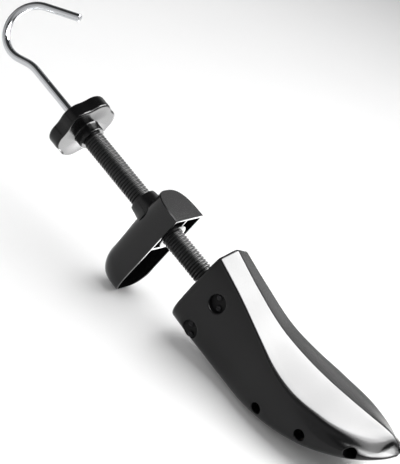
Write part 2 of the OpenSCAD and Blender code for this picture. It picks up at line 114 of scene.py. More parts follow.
def along(points, faces, start, axis, up):
    """Moves a shape made about the x axis so that x runs along axis from start, with up square to it."""
    x = np.array(axis, float) / np.linalg.norm(axis)
    y = np.cross(up, x)
    y = y / np.linalg.norm(y)
    z = np.cross(x, y)
    return np.asarray(points) @ np.array([x, y, z]) + np.array(start, float), faces


def apply_modifiers(ob):
    """Leaves the object's evaluated shape as its plain mesh."""
    made = bpy.data.meshes.new_from_object(ob.evaluated_get(bpy.context.evaluated_depsgraph_get()))
    ob.modifiers.clear()
    old = ob.data
    ob.data = made
    bpy.data.meshes.remove(old)


def boolean(ob, tool, how):
    mod = ob.modifiers.new("cut", "BOOLEAN")
    mod.operation = how
    mod.solver = "EXACT"
    mod.object = tool
    apply_modifiers(ob)
    bpy.data.objects.remove(tool)


def scratch(parts):
    """A tool object for a boolean."""
    ob = new_object("tool", *parts)
    outward(ob)
    return ob


def cut(ob, parts):
    boolean(ob, scratch(parts), "DIFFERENCE")


def add(ob, parts):
    boolean(ob, scratch(parts), "UNION")


# Materials
class Val:
    """A shader socket or a number that Python's operators work on."""

    def __init__(self, tree, socket):
        self.t, self.s = tree, socket

    def op(self, how, *others, swap=False):
        n = self.t.nodes.new("ShaderNodeMath")
        n.operation = how
        args = [self, *others]
        if swap:
            args.reverse()
        for i, a in enumerate(args):
            if isinstance(a, Val):
                self.t.links.new(a.s, n.inputs[i])
            else:
                n.inputs[i].default_value = a
        return Val(self.t, n.outputs[0])

    def __add__(self, o): return self.op("ADD", o)
    def __radd__(self, o): return self.op("ADD", o)
    def __sub__(self, o): return self.op("SUBTRACT", o)
    def __rsub__(self, o): return self.op("SUBTRACT", o, swap=True)
    def __mul__(self, o): return self.op("MULTIPLY", o)
    def __rmul__(self, o): return self.op("MULTIPLY", o)
    def __truediv__(self, o): return self.op("DIVIDE", o)
    def __rtruediv__(self, o): return self.op("DIVIDE", o, swap=True)
    def __pow__(self, o): return self.op("POWER", o)

    def between(self, a, b, low=0.0, high=1.0):
        """Runs from low to high as this goes from a to b, and stays there outside."""
        n = self.t.nodes.new("ShaderNodeMapRange")
        n.clamp = True
        self.t.links.new(self.s, n.inputs[0])
        for i, v in enumerate((a, b, low, high)):
            n.inputs[i + 1].default_value = v
        return Val(self.t, n.outputs[0])


class Shade:
    """A Principled material read from the object's own coordinates."""

    def __init__(self, name, **values):
        self.mat = bpy.data.materials.new(name)
        self.mat.use_nodes = True
        self.t = self.mat.node_tree
        self.bsdf = next(n for n in self.t.nodes if n.type == "BSDF_PRINCIPLED")
        for key, value in values.items():
            self.bsdf.inputs[key.replace("_", " ")].default_value = value
        self.where = self.t.nodes.new("ShaderNodeTexCoord").outputs["Object"]

    def node(self, kind, props=None, **inputs):
        n = self.t.nodes.new("ShaderNode" + kind)
        for k, v in (props or {}).items():
            setattr(n, k, v)
        for k, v in inputs.items():
            s = n.inputs[k.replace("_", " ")]
            if isinstance(v, Val):
                self.t.links.new(v.s, s)
            elif isinstance(v, bpy.types.NodeSocket):
                self.t.links.new(v, s)
            else:
                s.default_value = v
        return Val(self.t, n.outputs[0])

    def scaled(self, x, y, z):
        return self.node("Mapping", Vector=self.where, Scale=(x, y, z)).s

    def noise(self, scale, detail, rough, where=None, seed=0.0):
        return self.node("TexNoise", {"noise_dimensions": "4D"}, Vector=where or self.where, W=seed,
                         Scale=scale, Detail=detail, Roughness=rough)

    def colour(self, factor, dark, light):
        n = self.t.nodes.new("ShaderNodeMix")
        n.data_type = "RGBA"
        self.t.links.new(factor.s, n.inputs[0])
        n.inputs[6].default_value = (*dark, 1)
        n.inputs[7].default_value = (*light, 1)
        self.t.links.new(n.outputs[2], self.bsdf.inputs["Base Color"])

    def send(self, key, value):
        self.t.links.new(value.s, self.bsdf.inputs[key])

    def bump(self, height, strength, distance):
        b = self.node("Bump", Height=height, Strength=strength, Distance=distance)
        self.t.links.new(b.s, self.bsdf.inputs["Normal"])


def moulded(name, dark, light, rough, grain, ior, seed):
    """Black moulded plastic: faint mould grain, slow sheen changes, fine hairline scuffs and dust."""
    m = Shade(name, IOR=ior)
    slow = m.noise(14, 3, 0.5, seed=seed)
    fine = m.noise(900, 2, 0.6, seed=seed + 1)
    hair = m.noise(60, 6, 0.75, where=m.scaled(4.0, 0.35, 1.2), seed=seed + 2).between(0.62, 0.75)
    dust = m.noise(2600, 1, 0.5, seed=seed + 3).between(0.70, 0.80)
    m.colour(slow * 0.6 + dust * 0.25 + hair * 0.15, dark, light)
    m.send("Roughness", rough - 0.03 + slow * 0.08 + hair * 0.07 + fine * 0.03)
    m.bump(fine * 0.6 + slow * 0.4, grain, 0.0002)
    return m.mat


def plated(name, colour, rough, seed):
    """Bright plating over drawn rod: long fine draw lines and a little haze."""
    m = Shade(name, Metallic=1.0)
    lines = m.noise(30, 4, 0.7, where=m.scaled(0.6, 14, 14), seed=seed)
    haze = m.noise(55, 4, 0.6, seed=seed + 1)
    pits = m.noise(1500, 1, 0.5, seed=seed + 2).between(0.72, 0.82)
    m.colour(haze.between(0.3, 0.75), colour, tuple(c * 0.9 for c in colour))
    m.send("Roughness", rough + lines * 0.05 + haze * 0.04 + pits * 0.25)
    m.bump(lines * 0.5 + haze * 0.5, 0.03, 0.0002)
    return m.mat


def metal(name, dark, light, rough, grain, seed):
    """Zinc plate, brass and the like, with tool marks and tarnish."""
    m = Shade(name, Metallic=1.0)
    marks = m.noise(120, 3, 0.6, where=m.scaled(*grain), seed=seed)
    blotch = m.noise(90, 4, 0.6, seed=seed + 1)
    m.colour(blotch.between(0.3, 0.7) * 0.7 + marks * 0.3, dark, light)
    m.send("Roughness", rough + marks * 0.15 + blotch * 0.1)
    m.bump(marks, 0.08, 0.0003)
    return m.mat


def dull(name, dark, light, rough, seed, ior=1.48):
    """Nylon and acetal of the inner works, with a cloudy surface and rub marks."""
    m = Shade(name, IOR=ior)
    cloud = m.noise(45, 4, 0.6, seed=seed)
    fleck = m.noise(1400, 2, 0.6, seed=seed + 1)
    m.colour(cloud.between(0.25, 0.8), dark, light)
    m.send("Roughness", rough - 0.05 + cloud * 0.12 + fleck * 0.05)
    m.bump(fleck * 0.7 + cloud * 0.3, 0.12, 0.0003)
    return m.mat


ink, coal = (0.003, 0.003, 0.0033), (0.008, 0.008, 0.0084)
soot, slate = (0.004, 0.004, 0.0043), (0.011, 0.011, 0.0115)
last_black = moulded("moulded_black_last", ink, coal, 0.20, 0.04, 1.34, 3.0)
shell_black = moulded("moulded_black_heel", soot, slate, 0.17, 0.03, 1.38, 11.0)
knob_black = moulded("moulded_black_knob", ink, coal, 0.13, 0.03, 1.32, 23.0)
screw_black = moulded("moulded_black_thread", soot, (0.012, 0.012, 0.0125), 0.28, 0.03, 1.4, 31.0)
works_black = dull("inner_works_black", (0.003, 0.003, 0.0032), (0.009, 0.009, 0.0093), 0.6, 41.0, 1.25)
ramp_pale = dull("ramp_acetal", (0.52, 0.52, 0.47), (0.68, 0.67, 0.62), 0.38, 51.0)
chrome = plated("chrome_rod", (0.60, 0.61, 0.63), 0.05, 61.0)
dark_steel = metal("blackened_steel", (0.02, 0.02, 0.021), (0.05, 0.05, 0.052), 0.3, (20, 2, 20), 66.0)
steel = metal("zinc_steel", (0.42, 0.43, 0.45), (0.62, 0.62, 0.63), 0.25, (1, 20, 20), 71.0)
brass = metal("brass_nut", (0.50, 0.34, 0.12), (0.74, 0.55, 0.26), 0.24, (20, 2, 2), 81.0)
washer = metal("brass_washer", (0.46, 0.36, 0.18), (0.66, 0.55, 0.33), 0.3, (2, 9, 9), 91.0)


def piece(ob, mat, body, node):
    """Gives a finished piece its material and the body that it rides on, and hides the CAD node that it
    stands for.
    """
    ob.data.materials.clear()
    ob.data.materials.append(mat)
    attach(ob, body)
    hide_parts(node)


# The last
# Its length, its widths over the ball and at the rear, and its wall
LEN, BALL, REAR, WALL = 179.0, 77.0, 45.0, 3.0
# Where each half begins beside the middle, and the rounding of the rear edge
SPLIT, REAR_ROUND = 0.5, 3.0
TUBE_WAY_R, GUIDE_WAY_R, PLUG_WAY_R = 8.6, 6.65, 4.0
# (x, z, start of the boss) of the guide bores, and (x, z) of the plug holes
GUIDE = ((23.0, 6.6, 8.0), (20.4, -25.0, 5.0))
PLUGS = ((96.0, -14.0), (129.3, 1.5), (159.5, 17.5))
RAMP_SCREW_X = (93.5, 101.5)

# Shape of the last as (share of the length, value) stations, from the rear to the toe
ridge = [
    [0, 35.7], [0.17, 28.1], [0.34, 22.6], [0.48, 22.3], [0.61, 24.5],
    [0.73, 28.2], [0.83, 31.9], [0.92, 35.2], [1, 35.5],
]
crease_z = [
    [0, 30.2], [0.17, 24], [0.34, 17.5], [0.48, 15], [0.61, 16.5],
    [0.73, 20.6], [0.83, 24.6], [0.92, 28.8], [1, 31],
]
crease_y = [
    [0, 0.47], [0.17, 0.51], [0.34, 0.62], [0.48, 0.82], [0.6, 0.93],
    [0.73, 0.89], [0.83, 0.81], [0.92, 0.70], [1, 0.66],
]
side_y = [
    [0, 0], [0.17, 0.03], [0.34, 0.25], [0.48, 0.70], [0.61, 0.98],
    [0.73, 1], [0.83, 1], [0.92, 1], [1, 1],
]
sole = [
    [0, -34], [0.17, -35], [0.34, -34.2], [0.48, -30.4], [0.61, -22.6],
    [0.73, -12.6], [0.83, -0.7], [0.92, 12], [1, 27],
]


def curve(t, x):
    """A smooth curve through (place, value) stations."""
    n = len(t)
    i = 0
    while i < n - 2 and x >= t[i + 1][0]:
        i += 1

    def slope(j):
        a, b = max(0, j - 1), min(n - 1, j + 1)
        return (t[b][1] - t[a][1]) / (t[b][0] - t[a][0])
    h = t[i + 1][0] - t[i][0]
    u = (x - t[i][0]) / h
    return (t[i][1] * (2 * u**3 - 3 * u**2 + 1) + slope(i) * h * (u**3 - 2 * u**2 + u)
            + t[i + 1][1] * (3 * u**2 - 2 * u**3) + slope(i + 1) * h * (u**3 - u**2))


def round_end(s, a, b):
    """Falls from 1 at a to 0 at b as a quarter of an ellipse."""
    return 1.0 if s <= a else 0.0 if s >= b else math.sqrt(1 - ((s - a) / (b - a)) ** 2)


def half_side(s):
    """Half width of the last at share s of its length."""
    return max(1.2, (REAR / 2 + (BALL - REAR) / 2 * curve(side_y, s)) * round_end(s, 0.72, 1.0))


def half_fold(s):
    """How far out the crease lies at share s."""
    w = half_side(s)
    return min(w * 0.97, max(w * 0.25, BALL / 2 * curve(crease_y, s) * round_end(s, 0.72, 0.965)))


def half_outline(s, d, inner):
    """Half of the last's section at share s, drawn in by d, from the sole round to the ridge."""
    hw = half_side(s) - d
    zb = curve(sole, s) + d
    zt = curve(ridge, s) - 7 * (1 - round_end(s, 0.93, 1.0)) - d * 1.04
    fy = min(half_fold(s) - d * 0.8, hw * 0.98)
    fz = curve(crease_z, s) - d
    zm = zb + (fz - zb) * 0.5
    square = 0.52 + 0.2 * min(1, max(0, (s - 0.1) / 0.4))
    soft = min(0.45 * fy, 1.2 + 7 * max(0, s - 0.35))
    side = (fy + (hw - fy) * min(0.8, soft / (fz - zm)), fz - soft)
    top = (fy - soft, fz + (zt - fz) * soft / fy)
    out = []
    n = 20
    for k in range(n + 1):
        # the steps crowd towards both ends, where the section turns fastest
        a = math.pi / 2 * (0.5 - 0.5 * math.cos(math.pi * k / n))
        out.append((max(inner, hw * math.sin(a) ** square), zm - (zm - zb) * math.cos(a) ** square))
    for u in np.linspace(0, 1, 9)[1:-1]:
        out.append((hw - (hw - side[0]) * u**1.8, zm + (side[1] - zm) * u))
    for u in np.linspace(0, 1, 9):
        q = [side[i] * (1 - u) ** 2 + (fy, fz)[i] * 2 * u * (1 - u) + top[i] * u**2 for i in (0, 1)]
        out.append(tuple(q))
    for u in np.linspace(0, 1, 9)[1:-1]:
        # nearly flat, so that the two halves meet at an angle along the split
        rise = 0.2 * math.sin(math.pi / 2 * u) ** 1.25 + 0.8 * u
        out.append((max(inner, top[0] * (1 - u)), top[1] + (zt - top[1]) * rise))
    out.append((inner, zt))
    return out


def side_at(x, z):
    """How far out the side of the last is at x, z."""
    pts = half_outline(x / LEN, 0, SPLIT)
    best = 0.0
    for (y0, z0), (y1, z1) in zip(pts, pts[1:]):
        if (z0 - z) * (z1 - z) <= 0 and z0 != z1:
            best = max(best, y0 + (y1 - y0) * (z - z0) / (z1 - z0))
    return best


def bar(x, z, r, y0, y1, steps=40):
    """A round bar along y."""
    p, f = turned([(r, y0), (r, y1)], steps)
    return np.column_stack([p[:, 1] + x, p[:, 0], p[:, 2] + z]), f


def bore(x, z, r, y0, chamfer, steps=48):
    """A bore along y with a chamfer that follows the last's side."""
    a = np.linspace(0, 2 * math.pi, steps, endpoint=False)
    rows = []
    # each ring by how much wider it is than the bore and how far out of the side it lies
    rings = ((0, None), (0, -chamfer), (0.45 * chamfer, -0.28 * chamfer), (chamfer, 0.02), (chamfer, 9))
    for grow, lift in rings:
        q = []
        for t in a:
            px, pz = x + (r + grow) * math.cos(t), z + (r + grow) * math.sin(t)
            q.append((px, y0 if lift is None else side_at(px, pz) + lift, pz))
        rows.append(q)
    return loft(rows)


def box(x0, y0, z0, x1, y1, z1):
    p = [(x, y, z) for x in (x0, x1) for y in (y0, y1) for z in (z0, z1)]
    faces = [(0, 1, 3, 2), (4, 6, 7, 5), (0, 4, 5, 1), (2, 3, 7, 6), (0, 2, 6, 4), (1, 5, 7, 3)]
    return np.array(p, float), faces


def make_half():
    """The left half: its skin runs past the split, is cut flat there, and is then hollowed and bored."""
    rows = [[(0, y, z) for y, z in half_outline(0, REAR_ROUND + 0.5, -1)]]
    for a in np.linspace(0, 90, 9)[:-1]:
        x, d = REAR_ROUND * (1 - math.cos(math.radians(a))), REAR_ROUND * (1 - math.sin(math.radians(a)))
        rows.append([(x, y, z) for y, z in half_outline(x / LEN, d, -1)])
    # the rows crowd towards the toe
    shares = [REAR_ROUND / LEN] + [s for s in (1 - (1 - i / 76) ** 1.5 for i in range(1, 77)) if s > 0.022]
    for s in shares:
        rows.append([(s * LEN, y, z) for y, z in half_outline(min(s, 0.9985), 0, -1)])
    half = new_object("half", *loft(rows))
    outward(half)
    boolean(half, scratch(box(-9, SPLIT, -60, 200, 60, 60)), "INTERSECT")
    # the room inside, less what stands in it
    rows = []
    for i in range(41):
        s = WALL / LEN + (0.93 - WALL / LEN) * i / 40
        rows.append([(s * LEN, y, z) for y, z in half_outline(s, WALL, -1)])
    room = scratch(loft(rows))
    for x, z, y in GUIDE:
        cut(room, bar(x, z, 9.05, y, 42))
    for x, z in PLUGS:
        cut(room, bar(x, z, 6, half_side(x / LEN) - 10, 47))
    cut(room, box(88, 22, -10, 114.5, 52, 10))
    for x in (60, 76, 138):
        rib = scratch(box(x, -2, -50, x + 2.4, 60, 50))
        cut(rib, box(x - 1, -3, -11, x + 3.4, 12, 11))
        boolean(room, rib, "DIFFERENCE")
    boolean(half, room, "DIFFERENCE")
    # the tube's way, the guide bores, the plug holes and the ramp screws' holes
    cut(half, turned([(TUBE_WAY_R, -1), (TUBE_WAY_R, 4)], 64))
    for x, z, y in GUIDE:
        cut(half, bore(x, z, GUIDE_WAY_R, -1, 0.9, 64))
    for x, z in PLUGS:
        cut(half, bore(x, z, PLUG_WAY_R, half_side(x / LEN) - 11, 0.7))
    for x in RAMP_SCREW_X:
        cut(half, bar(x, 0, 1.25, 21, 30, 24))
    return half


left = make_half()
left.name = left.data.name = "last_half_left"
smooth(left, 32)
right = bpy.data.objects.new("last_half_right", left.data.copy())
right.data.name = "last_half_right"
scene.collection.objects.link(right)
flip = np.empty(len(right.data.vertices) * 3)
right.data.vertices.foreach_get("co", flip)
flip[1::3] *= -1
right.data.vertices.foreach_set("co", flip)
right.data.flip_normals()
right.data.update()
smooth(right, 32)
piece(left, last_black, "left", "last_left")
piece(right, last_black, "right", "last_right")


# The threads
def helix(x0, x1, pitch, crest, root, profile, steps):
    """A right-hand threaded rod from x0 to x1; profile is (share of the pitch, share of the depth)."""
    n = len(profile)
    turns = int(round((x1 - x0) / pitch)) + 1
    rows = []
    for i in range(-n, turns * n + 1):
        share, height = profile[i % n]
        base = x0 + pitch * (math.floor(i / n) + share)
        ring = []
        for j in range(steps):
            a = 2 * math.pi * j / steps
            x = base - pitch * j / steps
            # the thread runs out into the root at both ends
            rise, fall = (min(1.0, max(0.0, d / (0.5 * pitch))) for d in (x - x0, x1 - x))
            r = root + (crest - root) * height * (rise * fall)
            x = min(max(x, x0), x1)
            ring.append((x, r * math.sin(a), r * math.cos(a)))
        rows.append(ring)
    faces = []
    for i in range(len(rows) - 1):
        for j in range(steps):
            a, d = i * steps + j, (i + 1) * steps + j
            if j < steps - 1:
                faces.append((a, d, d + 1, a + 1))
            elif i >= n:
                # a ring's end meets the start of the ring one turn behind
                faces.append((a, d, (i + 1 - n) * steps, (i - n) * steps))
    return np.array(rows).reshape(-1, 3), faces


def threaded(name, thread):
    """The thread as a solid rod: its run-out rings are merged and both ends closed."""
    ob = new_object(name, *thread)
    bm = bmesh.new()
    bm.from_mesh(ob.data)
    bmesh.ops.remove_doubles(bm, verts=bm.verts, dist=1e-7)
    bmesh.ops.dissolve_degenerate(bm, edges=bm.edges, dist=1e-7)
    bmesh.ops.holes_fill(bm, edges=[e for e in bm.edges if e.is_boundary], sides=0)
    bm.to_mesh(ob.data)
    bm.free()
    outward(ob)
    return ob


TUBE_R, TUBE_ROOT, TUBE_PITCH, TUBE_BORE_R = 8.2, 7.1, 2.5, 3.525
# Thread shapes as (share of the pitch, share of the depth)
round_ridge = [
    (0.02, 0.0), (0.1, 0.12), (0.2, 0.6), (0.3, 0.93), (0.4, 1.0),
    (0.6, 1.0), (0.7, 0.93), (0.8, 0.6), (0.9, 0.12), (0.98, 0.0),
]
flat_ridge = [(0.05, 0), (0.28, 1), (0.5, 1), (0.72, 1), (0.95, 0)]
THREAD_REAR, THREAD_FRONT = -141.5, 6.0
tube = threaded("threaded_tube_helix",
                helix(THREAD_REAR, THREAD_FRONT, TUBE_PITCH, TUBE_R, TUBE_ROOT, round_ridge, 72))
# the core with its bare rear end, the bearing journal and the groove of the retaining ring
add(tube, turned([
    (7.13, -160), (7.13, -140), (6.9, -139.8), (6.9, 5), (7.13, 5.2), (7.13, 10.9), (6.8, 11.2),
    (5.6, 11.2), (5.6, 33), (4.8, 33), (4.8, 34.2), (5.6, 34.2), (5.6, 35.6), (5.2, 36)], 64))
cut(tube, turned([(TUBE_BORE_R, -161), (TUBE_BORE_R, 37)], 48))
outward(tube, 2e-6)
smooth(tube, 70)
piece(tube, screw_black, "tube", "threaded_tube")

# The hooked rod
ROD, ROD_PITCH = 3.175, 1.5
# The hook's plane: which way it stands up from the screw, and square to that
HOOK_TURN = math.radians(30)
LEAN = np.array([0, math.sin(HOOK_TURN), math.cos(HOOK_TURN)])
ACROSS = np.array([0, math.cos(HOOK_TURN), -math.sin(HOOK_TURN)])


def rod_path():
    """Centreline of the rod in the hook's own plane as (x, height), from the tip to the shaft."""
    jog, jog_r, run, big = math.radians(21), 30.0, 7.5, 23.1
    start = np.array([-216.0, 0.0])
    jog_end = start - jog_r * np.array([math.sin(jog), 1 - math.cos(jog)])
    bend = jog_end - run * np.array([math.cos(jog), math.sin(jog)])
    centre = bend + big * np.array([-math.sin(jog), math.cos(jog)])
    sweep = math.radians(172)
    tip = math.pi + jog - sweep
    p = []
    end = centre + big * np.array([-math.sin(tip), math.cos(tip)])
    for d in (30.5, 29.6, 20, 10, 0.6):
        p.append(end + d * np.array([math.cos(tip), math.sin(tip)]))
    for u in np.linspace(0, 1, 91):
        t = math.pi + jog - sweep * (1 - u)
        p.append(centre + big * np.array([-math.sin(t), math.cos(t)]))
    p.append((jog_end + bend) / 2)
    for u in np.linspace(1, 0, 19):
        p.append(start - jog_r * np.array([math.sin(jog * u), 1 - math.cos(jog * u)]))
    for x in (-214, -200, -180, -150, -100, -50, 0, 40, 80.6):
        p.append(np.array([x, 0.0]))
    return np.array(p)


def pipe(path, radii, steps=48):
    """A round skin along a path in the hook's plane."""
    rows = []
    for i, q in enumerate(path):
        t = path[min(i + 1, len(path) - 1)] - path[max(i - 1, 0)]
        t = t / np.linalg.norm(t)
        side = np.array([-t[1], t[0]])
        ring = []
        for a in np.linspace(0, 2 * math.pi, steps, endpoint=False):
            u, v = math.cos(a) * radii[i], math.sin(a) * radii[i]
            x, w = q + side * u
            ring.append(np.array([x, 0, 0]) + LEAN * w + ACROSS * v)
        rows.append(ring)
    return loft(rows)


path = rod_path()
tip_dir = (path[0] - path[1]) / np.linalg.norm(path[0] - path[1])
# the cut end of the tip has a small round edge
ends = [path[0] - tip_dir * d for d in (0, 0.05, 0.25, 0.5, 0.85)]
path = np.vstack([ends, path[1:]])
radii = np.full(len(path), ROD)
radii[:5] = [ROD - 0.85, ROD - 0.6, ROD - 0.28, ROD - 0.09, ROD]
path = np.vstack([path, [(81.2, 0.0)]])
radii = np.append(radii, ROD - 0.9)
rod = new_object("hooked_rod", *pipe(path, radii))
outward(rod)
boolean(rod, threaded("thread", helix(80.9, 118, ROD_PITCH, ROD, ROD - 0.55, flat_ridge, 36)), "UNION")
add(rod, turned([
    (ROD - 0.6, 80.95), (ROD - 0.6, 117.2), (ROD - 0.52, 117.6), (ROD - 0.52, 122.4), (ROD - 1.1, 123)], 36))
outward(rod, 2e-6)
smooth(rod, 40)
piece(rod, chrome, "hook", "hook_rod")

# The star knob
STAR_FRONT, STAR_BACK, HUB_FRONT, HUB_R = -150.0, -162.0, -142.0, 10.7
# Where the set screw points, round the screw from straight up
SET_SCREW = math.radians(-130)


def star_radius(angle, r=27.25, lobes=6, turn=28.0, hollow=2.6, hollow_r=22.0):
    """Radius of the star's outline at an angle from the left, in degrees.

    Lobes and hollows are arcs that meet without a corner.
    """
    half = math.radians(180 / lobes)
    hollow_at = r - hollow + hollow_r
    lobe_r = ((r**2 + hollow_at**2 - 2 * r * hollow_at * math.cos(half) - hollow_r**2)
              / (2 * (r + hollow_r - hollow_at * math.cos(half))))
    lobe_at = r - lobe_r
    a = math.radians((angle - turn) % (360 / lobes))
    a = min(a, 2 * half - a)
    meet = math.atan2(hollow_at * math.sin(half) * lobe_r,
                      lobe_at * hollow_r + hollow_at * math.cos(half) * lobe_r)
    if a <= meet:
        return lobe_at * math.cos(a) + math.sqrt(lobe_r**2 - (lobe_at * math.sin(a)) ** 2)
    b = half - a
    return hollow_at * math.cos(b) - math.sqrt(hollow_r**2 - (hollow_at * math.sin(b)) ** 2)


def star_ring(x, inset, steps=360):
    """The star's outline at x, moved in square to itself."""
    ring = []
    for k in range(steps):
        a = 360 * k / steps
        r0, r1, r2 = star_radius(a - 0.5), star_radius(a), star_radius(a + 0.5)
        tilt = math.atan2((r2 - r0) / math.radians(1.0), r1)
        t = math.radians(a)
        y, z = r1 * math.cos(t), r1 * math.sin(t)
        ring.append((x, y - inset * math.cos(t - tilt), z - inset * math.sin(t - tilt)))
    return ring


def star_body():
    """The star with rounded rims; a flat ring inside each rim keeps the rim's shading off the faces."""
    rear, front = 2.8, 1.6
    rows = [star_ring(STAR_BACK, 3.3)]
    for a in np.radians(np.linspace(0, 90, 9)):
        rows.append(star_ring(STAR_BACK + rear * (1 - math.cos(a)), rear * (1 - math.sin(a))))
    for x in np.linspace(STAR_BACK + 4, STAR_FRONT - 3, 4):
        rows.append(star_ring(x, 0))
    for a in np.radians(np.linspace(90, 0, 8)):
        rows.append(star_ring(STAR_FRONT - front * (1 - math.cos(a)), front * (1 - math.sin(a))))
    rows.append(star_ring(STAR_FRONT, 2.1))
    return loft(rows)


knob = new_object("star_knob_moulding", *star_body())
outward(knob)
# the hub, the boss behind the star, the ways of the tube and the rod, and the set screw's hole
add(knob, turned([
    (11.6, -155), (11.6, STAR_FRONT - 0.05), (11.1, STAR_FRONT + 0.15), (10.8, STAR_FRONT + 0.7),
    (HUB_R, STAR_FRONT + 1.6), (HUB_R, STAR_FRONT + 2), (HUB_R, HUB_FRONT - 1.1),
    (HUB_R - 0.03, HUB_FRONT - 0.7), (HUB_R - 0.2, HUB_FRONT - 0.3), (HUB_R - 0.6, HUB_FRONT)], 96))
add(knob, turned([(10.5, -164), (11.2, -163.4), (11.5, -162.4), (11.5, -158)], 96))
cut(knob, turned([(TUBE_ROOT, -160), (TUBE_ROOT, -130)], 64))
cut(knob, turned([(3.9, -170), (3.9, -158)], 48))
cut(knob, along(*turned([(1.6, 0), (1.6, 20)], 32), (HUB_FRONT - 4, 0, 0),
                (0, -math.sin(SET_SCREW), math.cos(SET_SCREW)), (1, 0, 0)))
smooth(knob, 28)
piece(knob, knob_black, "tube", "star_knob")

# The heel block
# Its open front, its reach above and below the screw, its width and its wall
HEEL_FRONT, HEEL_UP, HEEL_DOWN, HEEL_W, HEEL_WALL = -41.0, 21.5, 64.5, 35.0, 2.2
# Height of the rounded bottom, and where it begins
BOTTOM = 22.0
ROUND_FROM = BOTTOM - HEEL_DOWN


def heel_round(z):
    """1 above the rounded bottom, and down to 0 at its lowest point."""
    return 1.0 if z > ROUND_FROM else math.sqrt(max(0, 1 - ((ROUND_FROM - z) / BOTTOM) ** 2))


def heel_outline(z, d, f, n=48):
    """Section of the heel block at height z, drawn in by d, with its open front moved on by f."""
    share = (HEEL_UP - z) / (HEEL_UP + HEEL_DOWN)
    lean = 3.4 * share + 3.5 * (1 - heel_round(z)) ** 1.3
    half = max(0.6, (HEEL_W / 2 + 0.6 * share) * heel_round(z) ** 0.9 - d)
    full = 28.5 + 2.4 * share - 6 * max(share, 0) ** 2.6
    depth = max(1.5, full * (0.25 + 0.75 * heel_round(z) ** 0.7) - d)
    out = []
    for k in range(n + 1):
        a = math.pi * (0.5 - 0.5 * math.cos(math.pi * k / n))
        c, s = math.cos(a), math.sin(a)
        x = HEEL_FRONT - lean + f - (depth + f) * abs(s) ** 0.62
        out.append((x, half * math.copysign(abs(c) ** 0.74, c), z))
    return out


def make_heel():
    """The shell, its room with the ribs left in, the tapered collar and the tube's way."""
    down = [ROUND_FROM - BOTTOM * math.sin(math.radians(a)) for a in np.linspace(88, 0, 26)]
    up = list(np.linspace(ROUND_FROM, HEEL_UP, 24))[1:]
    steps = down + up
    chamfer = 0.55
    rows = [heel_outline(z, 0, 0) for z in steps[:-1]]
    rows += [heel_outline(HEEL_UP - chamfer, 0, 0), heel_outline(HEEL_UP, chamfer, 0)]
    shell = new_object("heel", *loft(rows))
    outward(shell)
    # the room ends one wall under the top and about one wall over the bottom
    rows = []
    for z in steps:
        level = HEEL_UP - HEEL_WALL if z > HEEL_UP - HEEL_WALL else z + HEEL_WALL * 0.02
        if level <= ROUND_FROM:
            level += HEEL_WALL * 1.05
        rows.append(heel_outline(level, HEEL_WALL, 3))
    rows = [r for i, r in enumerate(rows) if i == 0 or r[0][2] > rows[i - 1][0][2] + 1e-6]
    room = scratch(loft(rows))
    # the ring, the web above it and the plate under it stay solid
    front = HEEL_FRONT - 0.8
    cut(room, turned([(11.6, -90), (11.6, front)], 96))
    cut(room, box(-90, -0.9, 5, front - 0.1, 0.9, 45))
    cut(room, box(-90, -30, -12.2, HEEL_FRONT - 1.4, 30, -10.2))
    boolean(shell, room, "DIFFERENCE")
    rear = HEEL_FRONT - 37.7
    add(shell, turned([
        (10.2, rear), (10.7, rear + 0.25), (10.9, rear + 0.8), (11.3, rear + 3.4), (11.7, rear + 6),
        (12.9, rear + 10), (15, rear + 14)], 96))
    cut(shell, turned([(8.28, -100), (8.28, 0)], 72))
    return shell


heel = make_heel()
heel.name = "heel_block_shell"
smooth(heel, 30)
edge = heel.modifiers.new("soft edges", "BEVEL")
edge.width, edge.segments = 0.00025, 2
edge.limit_method, edge.angle_limit = "ANGLE", math.radians(50)
edge.use_clamp_overlap = True
apply_modifiers(heel)
smooth(heel, 25)
piece(heel, shell_black, "heel", "heel_block")

# The screws
class Tree:
    """A Geometry Nodes tree on a mesh, with named inputs, built node by node."""

    def __init__(self, name, **inputs):
        self.t = bpy.data.node_groups.new(name, "GeometryNodeTree")
        face = self.t.interface
        face.new_socket("Points", in_out="INPUT", socket_type="NodeSocketGeometry")
        for label, kind in inputs.items():
            face.new_socket(label, in_out="INPUT", socket_type="NodeSocket" + kind)
        face.new_socket("Result", in_out="OUTPUT", socket_type="NodeSocketGeometry")
        self.given = self.t.nodes.new("NodeGroupInput").outputs
        self.result = self.t.nodes.new("NodeGroupOutput").inputs[0]

    def put(self, socket, value):
        if isinstance(value, bpy.types.NodeSocket):
            self.t.links.new(value, socket)
        else:
            socket.default_value = value

    def node(self, kind, pairs, out=None, **settings):
        """A new node with (input, value) pairs set; gives its first output, or its first of a type."""
        n = self.t.nodes.new(kind)
        for k, v in settings.items():
            setattr(n, k, v)
        for key, value in pairs:
            self.put(n.inputs[key], value)
        return next(o for o in n.outputs if out in (None, o.type))

    def sum(self, a, b, how="ADD"):
        return self.node("ShaderNodeMath", [(0, a), (1, b)], operation=how)

    def times(self, a, b):
        return self.sum(a, b, "MULTIPLY")

    def xyz(self, x, y, z):
        return self.node("ShaderNodeCombineXYZ", [(0, x), (1, y), (2, z)])

    def lifted(self, mesh, z):
        move = self.xyz(0.0, 0.0, z)
        return self.node("GeometryNodeTransform", [("Geometry", mesh), ("Translation", move)])

    def made(self, ob, **values):
        """Runs the tree on an object with these inputs and leaves its result as a plain mesh."""
        mod = ob.modifiers.new("nodes", "NODES")
        mod.node_group = self.t
        for item in self.t.interface.items_tree:
            if item.in_out == "INPUT" and item.name in values:
                mod[item.identifier] = values[item.name]
        apply_modifiers(ob)


